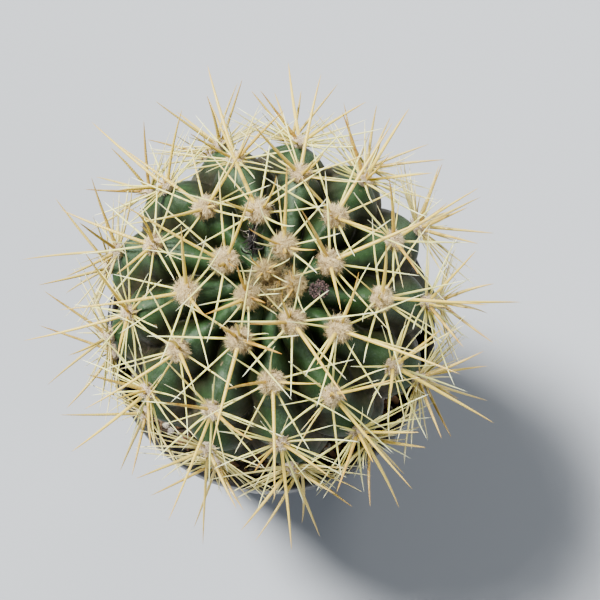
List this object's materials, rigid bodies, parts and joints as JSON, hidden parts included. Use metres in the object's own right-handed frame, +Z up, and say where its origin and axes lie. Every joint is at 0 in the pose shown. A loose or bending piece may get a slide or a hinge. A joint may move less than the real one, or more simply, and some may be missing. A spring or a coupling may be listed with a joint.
{
  "type": "potted round cactus",
  "caption": "Young ribbed globe cactus with woolly areoles and long straw-coloured spines, growing in a plain black plastic nursery pot.",
  "frame": {"origin": "centre of the flat underside of the pot, on the surface it stands on", "axes": "+Z up along the pot's axis; the crown of the plant leans 6 degrees towards -Y"},
  "size_m": [0.1081, 0.1068, 0.1234],
  "materials": {
    "plastic": "moulded black plastic, satin",
    "mix": "dark peat and bark potting mix with a few pale mineral grains",
    "bark": "rough brown root bark",
    "skin": "dark green waxy skin with a pale bloom on the ribs",
    "young_areoles": "tan new wool with orange-brown new spines",
    "grown_areoles": "straw-yellow to golden horny spines out of beige wool",
    "old_areoles": "greyer straw spines out of grey-white wool",
    "dried": "dry dark purple-brown flower remains"
  },
  "bodies": {
    "root": {"pot": "plastic", "potting_mix": "mix", "root_stock": "bark", "stem": "skin", "dried_bud_dark": "dried", "dried_bud_grainy": "dried", "areole_00": "young_areoles", "areole_01": "young_areoles", "areole_02": "young_areoles", "areole_03": "young_areoles", "areole_04": "young_areoles", "areole_05": "grown_areoles", "areole_06": "grown_areoles", "areole_07": "grown_areoles", "areole_08": "grown_areoles", "areole_09": "grown_areoles", "areole_10": "grown_areoles", "areole_11": "grown_areoles", "areole_12": "grown_areoles", "areole_13": "grown_areoles", "areole_14": "grown_areoles", "areole_15": "grown_areoles", "areole_16": "grown_areoles", "areole_17": "grown_areoles", "areole_18": "grown_areoles", "areole_19": "grown_areoles", "areole_20": "grown_areoles", "areole_21": "grown_areoles", "areole_22": "grown_areoles", "areole_23": "grown_areoles", "areole_24": "grown_areoles", "areole_25": "grown_areoles", "areole_26": "grown_areoles", "areole_27": "grown_areoles", "areole_28": "grown_areoles", "areole_29": "grown_areoles", "areole_30": "grown_areoles", "areole_31": "old_areoles", "areole_32": "old_areoles", "areole_33": "old_areoles", "areole_34": "old_areoles", "areole_35": "old_areoles", "areole_36": "old_areoles", "areole_37": "old_areoles", "areole_38": "old_areoles", "areole_39": "old_areoles", "areole_40": "old_areoles", "areole_41": "old_areoles", "areole_42": "old_areoles", "areole_43": "old_areoles", "areole_44": "old_areoles", "areole_45": "old_areoles", "areole_46": "old_areoles", "areole_47": "old_areoles", "areole_48": "old_areoles", "areole_49": "old_areoles", "areole_50": "old_areoles", "areole_51": "old_areoles"}
  },
  "joints": []
}
